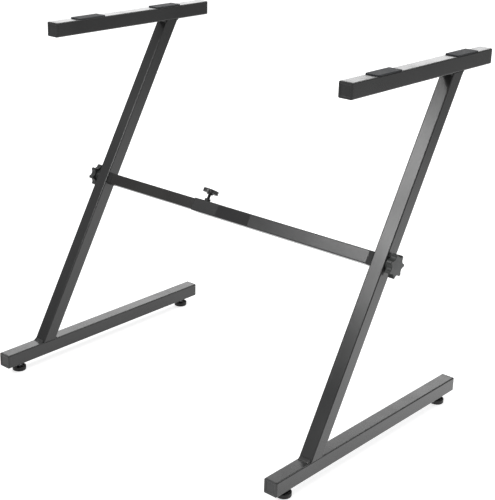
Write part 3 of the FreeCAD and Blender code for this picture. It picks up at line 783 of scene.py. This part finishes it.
low, high = (Vector(corner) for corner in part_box(PAD_NODES[0]))
pad_size = high - low
pad = block("rubber_pad", -pad_size / 2, pad_size / 2)
bpy.ops.object.mode_set(mode="EDIT")
pick("edges", lambda edge: along(edge, 2))
bpy.ops.mesh.bevel(offset=PAD_CORNER, segments=5, affect="EDGES")
top = pad_size.z / 2
pick("edges", lambda edge: all(point.z > 0.999 * top for point in ends_of(edge)))
bpy.ops.mesh.bevel(offset=PAD_SOFTNESS, segments=4, affect="EDGES")
bpy.ops.object.mode_set(mode="OBJECT")
smooth(pad, 60)
for node in PAD_NODES:
    low, high = (Vector(corner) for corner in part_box(node))
    dress(copied(pad, node + "_rubber", (low + high) / 2), node, pad_rubber)
bpy.data.objects.remove(pad)
print("pads:", len(PAD_NODES), "of", [round(value / MM, 1) for value in pad_size], "mm")

# %% [markdown]
# A plug closes each tube. Its flange has the tube's own rounded corners and a
# soft outer edge, with a square panel sunk in its face; behind it a hollow
# spigot with two gripping ribs reaches into the tube. The spigot grows step by
# step: the back face is pushed out by a length and then scaled to a side, and a
# step of no length makes the shoulder of a rib. The corners are rounded last,
# when the panel and the spigot no longer depend on them. One plug is made
# facing the front at the origin and copied to the eight tube ends.

# %% End plugs
PLUG_CORNER = 2.2 * MM
PLUG_EDGE = 0.7 * MM
PLUG_PANEL = 18 * MM
PLUG_SINK = 0.8 * MM
SPIGOT_SIDE = 20.4 * MM
RIB_SIDE = 21.8 * MM
RIB_WIDTH = 1.2 * MM
SPIGOT_WALL = 1.6 * MM
SPIGOT_STEPS = (
    (2.25 * MM, SPIGOT_SIDE), (0.0, RIB_SIDE), (RIB_WIDTH, RIB_SIDE), (0.0, SPIGOT_SIDE),
    (3.3 * MM, SPIGOT_SIDE), (0.0, RIB_SIDE), (RIB_WIDTH, RIB_SIDE), (0.0, SPIGOT_SIDE),
)

low, high = (Vector(corner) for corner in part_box("left_foot_front_plug"))
side = high.x - low.x
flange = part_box("left_foot_tube")[0][1] - low.y
spigot_reach = high.y - low.y - flange
plug = block("end_plug", (-side / 2, -flange, -side / 2), (side / 2, 0, side / 2))
bpy.ops.object.mode_set(mode="EDIT")
pick("faces", lambda face: face.normal.y < -0.999)
bpy.ops.mesh.inset(thickness=(side - PLUG_PANEL) / 2)
bpy.ops.mesh.inset(thickness=PLUG_SINK)
bpy.ops.transform.translate(value=(0, PLUG_SINK, 0))
pick("faces", lambda face: face.normal.y > 0.999)
bpy.ops.mesh.inset(thickness=(side - SPIGOT_SIDE) / 2)
now_side = SPIGOT_SIDE
left_over = spigot_reach - sum(length for length, step_side in SPIGOT_STEPS)
for length, step_side in SPIGOT_STEPS + ((left_over, SPIGOT_SIDE),):
    bpy.ops.mesh.extrude_region_move(TRANSFORM_OT_translate={"value": (0, length, 0)})
    grow = step_side / now_side
    bpy.ops.transform.resize(value=(grow, 1, grow), center_override=(0, 0, 0))
    now_side = step_side
bpy.ops.mesh.inset(thickness=SPIGOT_WALL)
bpy.ops.mesh.extrude_region_move(TRANSFORM_OT_translate={"value": (0, -spigot_reach, 0)})


def on_flange_rim(point):
    """Whether a point is on the outer outline of the flange."""
    return max(abs(point.x), abs(point.z)) > side / 2 - PLUG_CORNER / 3


pick("edges", lambda edge: along(edge, 1) and all(on_flange_rim(point) for point in ends_of(edge)))
bpy.ops.mesh.bevel(offset=PLUG_CORNER, segments=6, affect="EDGES")
pick("edges", lambda edge: all(
    on_flange_rim(point) and point.y < -0.999 * flange for point in ends_of(edge)))
bpy.ops.mesh.bevel(offset=PLUG_EDGE, segments=3, affect="EDGES")
bpy.ops.object.mode_set(mode="OBJECT")
smooth(plug, 35)
for name in SIDES:
    for level in ("foot", "arm"):
        tube_low, tube_high = (Vector(corner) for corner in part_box(f"{name}_{level}_tube"))
        middle = (tube_low + tube_high) / 2
        for end, mouth in (("front", tube_low.y), ("rear", tube_high.y)):
            node = f"{name}_{level}_{end}_plug"
            turn = math.pi if end == "rear" else 0.0
            twin = copied(plug, node + "_moulding", (middle.x, mouth, middle.z), turn)
            dress(twin, node, plug_plastic)
bpy.data.objects.remove(plug)
print("plugs: 8, flange", round(flange / MM, 1), "mm thick")

# %% [markdown]
# A levelling foot's disc is moulded rubber: round below where it meets the
# floor, with a dished top and a boss round the stud. A cylinder is bevelled at
# both rims, and its top is inset, sunk and inset again for the boss.

# %% Foot discs
DISC_SIDES = 64
DISC_FLOOR_EDGE = 1.8 * MM
DISC_TOP_EDGE = 0.8 * MM
DISC_RIM = 2.2 * MM
DISC_DISH = 1.4 * MM
DISH_SLOPE = 0.5 * MM
DISC_BOSS = 6.4 * MM
BOSS_SLOPE = 0.4 * MM
DISC_NODES = [f"{name}_{end}_foot_disc" for name in SIDES for end in ENDS]

low, high = (Vector(corner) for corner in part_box(DISC_NODES[0]))
radius = (high.x - low.x) / 2
thickness = high.z - low.z
bpy.ops.object.select_all(action="DESELECT")
bpy.ops.mesh.primitive_cylinder_add(
    vertices=DISC_SIDES, radius=radius, depth=thickness, location=(0, 0, thickness / 2))
disc = bpy.context.object
bpy.ops.object.transform_apply(location=True, rotation=True, scale=True)
bpy.ops.object.mode_set(mode="EDIT")
pick("edges", lambda edge: all(point.z < 0.001 * MM for point in ends_of(edge)))
bpy.ops.mesh.bevel(offset=DISC_FLOOR_EDGE, segments=6, affect="EDGES")
pick("edges", lambda edge: all(point.z > 0.999 * thickness for point in ends_of(edge)))
bpy.ops.mesh.bevel(offset=DISC_TOP_EDGE, segments=4, affect="EDGES")
pick("faces", lambda face: face.normal.z > 0.999 and len(face.vertices) > 8)
bpy.ops.mesh.inset(thickness=DISC_RIM)
bpy.ops.mesh.inset(thickness=DISH_SLOPE)
bpy.ops.transform.translate(value=(0, 0, -DISC_DISH))
dish_radius = radius - DISC_TOP_EDGE - DISC_RIM - DISH_SLOPE
bpy.ops.mesh.inset(thickness=dish_radius - DISC_BOSS - BOSS_SLOPE)
bpy.ops.mesh.inset(thickness=BOSS_SLOPE)
bpy.ops.transform.translate(value=(0, 0, DISC_DISH))
bpy.ops.object.mode_set(mode="OBJECT")
smooth(disc, 50)
for node in DISC_NODES:
    low, high = (Vector(corner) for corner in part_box(node))
    middle = (low + high) / 2
    dress(copied(disc, node + "_moulding", (middle.x, middle.y, low.z)), node, foot_rubber)
bpy.data.objects.remove(disc)
print("discs:", len(DISC_NODES), "of", round(2 * radius / MM, 1), "mm across")

# %% [markdown]
# A screw thread is a ridge that climbs round the shaft. Here a cylinder is cut
# into many rings by subdividing its long edges, and every point is then moved
# towards the axis by how far it lies from the ridge at its place round the
# shaft. The shaft stays closed, which a swept ridge would not. The depth is a
# share of the pitch, and crest and flank set the ridge's flat and its slope.

# %% Threads
THREAD_SIDES = 24
RINGS_PER_TURN = 8
THREAD_DEPTH = 0.6
CREST = 0.1
FLANK = 2.4
STUD_PITCH = 1.25 * MM
SCREW_PITCH = 1.0 * MM


def threaded_rod(name, radius, length, pitch):
    """A rod along Z from the origin, with a thread of a given pitch cut in it."""
    bpy.ops.object.select_all(action="DESELECT")
    bpy.ops.mesh.primitive_cylinder_add(
        vertices=THREAD_SIDES, radius=radius, depth=length, location=(0, 0, length / 2))
    rod = bpy.context.object
    rod.name = name
    bpy.ops.object.transform_apply(location=True, rotation=True, scale=True)
    bpy.ops.object.mode_set(mode="EDIT")
    pick("edges", lambda edge: along(edge, 2))
    rings = round(length / pitch * RINGS_PER_TURN)
    bpy.ops.mesh.subdivide(number_cuts=rings - 1)
    bpy.ops.object.mode_set(mode="OBJECT")
    depth = THREAD_DEPTH * pitch
    for point in rod.data.vertices:
        turned = math.atan2(point.co.y, point.co.x) / (2 * math.pi)
        phase = (point.co.z / pitch - turned) % 1.0
        from_ridge = min(1.0, max(0.0, FLANK * abs(phase - 0.5) - CREST))
        shrink = 1 - depth * from_ridge / radius
        point.co.x *= shrink
        point.co.y *= shrink
    smooth(rod, 35)
    return rod


STUD_NODES = [f"{name}_{end}_foot_stud" for name in SIDES for end in ENDS]
low, high = (Vector(corner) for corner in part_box(STUD_NODES[0]))
stud = threaded_rod("stud", (high.x - low.x) / 2, high.z - low.z, STUD_PITCH)
for node in STUD_NODES:
    low, high = (Vector(corner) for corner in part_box(node))
    middle = (low + high) / 2
    dress(copied(stud, node + "_thread", (middle.x, middle.y, low.z)), node, zinc)
print("studs:", len(STUD_NODES), "with", len(stud.data.polygons), "faces each")
bpy.data.objects.remove(stud)

# %% [markdown]
# The thumb screw leans with the crossbar, so its rod is made upright and then
# turned. Its node's box gives both ends once the lean is known: along a line
# that leans by an angle, a round rod's box is its length and its radius
# together.

# %% Thumb screw's thread
screw_size = Vector(screw_high) - Vector(screw_low)
screw_radius = screw_size.x / 2
screw_length = (screw_size.z - 2 * screw_radius * math.sin(-BAR_TURN)) / math.cos(BAR_TURN)
rod = threaded_rod("screw", screw_radius, screw_length, SCREW_PITCH)
screw_middle = (Vector(screw_low) + Vector(screw_high)) / 2
rod.data.transform(Matrix.Translation((0, 0, -screw_length / 2)))
screw_thread = copied(rod, "thumb_screw_thread", screw_middle, BAR_TURN, "X")
dress(screw_thread, "thumb_screw_shank", black_steel)
bpy.data.objects.remove(rod)
print("thumb screw:", round(screw_length / MM, 1), "mm long")

# %% [markdown]
# Some pieces start as a copy of the CAD node's mesh. That is a set of loose
# triangles, so its doubled points are merged and its flat areas dissolved into
# single faces, which operators and modifiers can then work on.

# %% Helper: merged copy of a CAD node
MERGE_DISTANCE = 0.002 * MM
FLAT_ANGLE = math.radians(1)


def cad_copy(node, name):
    """A copy of a node's mesh, merged, as the one selected piece."""
    piece = bpy.data.objects.new(name, frame["nodes"][node].data.copy())
    bpy.context.scene.collection.objects.link(piece)
    only(piece)
    bpy.ops.object.mode_set(mode="EDIT")
    bpy.ops.mesh.select_all(action="SELECT")
    bpy.ops.mesh.remove_doubles(threshold=MERGE_DISTANCE)
    bpy.ops.mesh.dissolve_limited(angle_limit=FLAT_ANGLE)
    bpy.ops.object.mode_set(mode="OBJECT")
    return piece


print("helper for CAD copies is ready")

# %% [markdown]
# The knobs' forms are already right in CAD; what a mould adds is a rounding on
# every edge. A Bevel modifier, limited to sharp angles, rounds the edges of a
# merged copy and is applied.

# %% Star knobs and thumb screw head
KNOB_EDGE = 1.1 * MM
HEAD_EDGE = 0.5 * MM
ROUND_SEGMENTS = 3
SHARP_ANGLE = math.radians(35)


def softened(node, name, width):
    """A copy of a node's mesh with its sharp edges rounded."""
    piece = cad_copy(node, name)
    bpy.ops.object.modifier_add(type="BEVEL")
    rounding = piece.modifiers[-1]
    rounding.width = width
    rounding.segments = ROUND_SEGMENTS
    rounding.limit_method = "ANGLE"
    rounding.angle_limit = SHARP_ANGLE
    bpy.ops.object.modifier_apply(modifier=rounding.name)
    smooth(piece, 40)
    return piece


for name in SIDES:
    knob = softened(f"{name}_star_knob", f"{name}_star_knob_moulding", KNOB_EDGE)
    dress(knob, f"{name}_star_knob", knob_plastic)
head = softened("thumb_screw_head", "thumb_screw_head_moulding", HEAD_EDGE)
dress(head, "thumb_screw_head", head_plastic)
print("knob faces:", len(knob.data.polygons), "head faces:", len(head.data.polygons))

# %% [markdown]
# Each end block has a collar that shows between the tube and the side frame,
# and a spigot inside the tube. The two collars are alike in CAD, but the left
# one sits on the thinner inner tube and is flush with that on the real stand.
# So the rim of that collar, which is all that lies far from the crossbar's
# axis, is drawn in towards the axis by a resize.

# %% End blocks
COLLAR_EDGE = 0.4 * MM
INNER_COLLAR = 20.5 * MM
OUTER_SIDE = 23 * MM
RIM_FROM = 0.45 * OUTER_SIDE


def on_collar_rim(point):
    """Whether a point of the left block is on the outline of its collar."""
    into_bar = Matrix.Rotation(-BAR_TURN, 4, "X") @ Matrix.Translation(-bar_axis)
    from_axis = max(abs(value) for value in (into_bar @ point.co).yz)
    return point.co.x < collar_end and from_axis > RIM_FROM


collar_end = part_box("crossbar_inner_tube")[0][0] + 0.01 * MM
for name in SIDES:
    cushion = softened(f"{name}_end_block", f"{name}_end_block_moulding", COLLAR_EDGE)
    if name == "left":
        bpy.ops.object.mode_set(mode="EDIT")
        pick("points", on_collar_rim)
        drawn_in = INNER_COLLAR / OUTER_SIDE
        bpy.ops.transform.resize(value=(1, drawn_in, drawn_in), center_override=bar_axis)
        bpy.ops.object.mode_set(mode="OBJECT")
    dress(cushion, f"{name}_end_block", block_plastic)
print("collars:", round(INNER_COLLAR / MM, 1), "and", round(OUTER_SIDE / MM, 1), "mm")

# %% [markdown]
# A hand-made weld is a row of overlapping ripples, one for each dip of the
# rod. The CAD beads have the right section, so a copy of them is cut across
# into thin slices, and each slice is swollen or drawn in by a wave that runs
# along the bead. Only the root, where the two tubes meet, stays where it is.

# %% Weld beads
RIPPLE = 1.5 * MM
SLICES = 56
SWELL = 0.16

up_low, up_high = (Vector(corner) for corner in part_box("left_upright_tube"))
tube_side = Vector(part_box("left_foot_tube")[1]).x - Vector(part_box("left_foot_tube")[0]).x
slant = tube_side / math.cos(BAR_TURN)
ROOTS = [
    Vector((up_low.y, up_low.z)),
    Vector((up_low.y + slant, up_low.z)),
    Vector((up_high.y, up_high.z)),
    Vector((up_high.y - slant, up_high.z)),
]
for name in SIDES:
    node = f"{name}_weld_beads"
    beads = cad_copy(node, node + "_rippled")
    bpy.ops.object.mode_set(mode="EDIT")
    pick("edges", lambda edge: along(edge, 0))
    bpy.ops.mesh.subdivide(number_cuts=SLICES)
    bpy.ops.object.mode_set(mode="OBJECT")
    for point in beads.data.vertices:
        here = Vector((point.co.y, point.co.z))
        root = min(ROOTS, key=lambda place: (here - place).length)
        wave = abs(math.sin(math.pi * point.co.x / RIPPLE)) - 0.5
        grown = root + (here - root) * (1 + SWELL * wave)
        point.co.y, point.co.z = grown
    smooth(beads, 60)
    dress(beads, node, frame_paint)
print("bead slices:", SLICES, "faces:", len(beads.data.polygons))

# %% [markdown]
# A dark plate of thin film is stuck on the front of the outer tube. It carries
# no lettering here. It is a very thin box with rounded corners and a soft
# edge, made level at the crossbar's axis and then turned with the tube.

# %% Bare plate on the outer tube
PLATE_FROM = -27 * MM
PLATE_TO = 46 * MM
PLATE_HEIGHT = 19 * MM
PLATE_THICKNESS = 0.3 * MM
PLATE_CORNER = 1.2 * MM
PLATE_EDGE = 0.15 * MM

back = -OUTER_SIDE / 2
front = back - PLATE_THICKNESS
plate = block("label_plate", (PLATE_FROM, front, -PLATE_HEIGHT / 2),
              (PLATE_TO, back, PLATE_HEIGHT / 2))
bpy.ops.object.mode_set(mode="EDIT")
pick("edges", lambda edge: along(edge, 1))
bpy.ops.mesh.bevel(offset=PLATE_CORNER, segments=4, affect="EDGES")
pick("edges", lambda edge: all(point.y < front + 0.01 * MM for point in ends_of(edge)))
bpy.ops.mesh.bevel(offset=PLATE_EDGE, segments=2, affect="EDGES")
bpy.ops.object.mode_set(mode="OBJECT")
smooth(plate, 40)
plate.data.transform(Matrix.Translation(bar_axis) @ Matrix.Rotation(BAR_TURN, 4, "X"))
plate.data.materials.append(label_film)
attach(plate, "crossbar_outer")
print("plate:", round((PLATE_TO - PLATE_FROM) / MM), "x", round(PLATE_HEIGHT / MM), "mm")
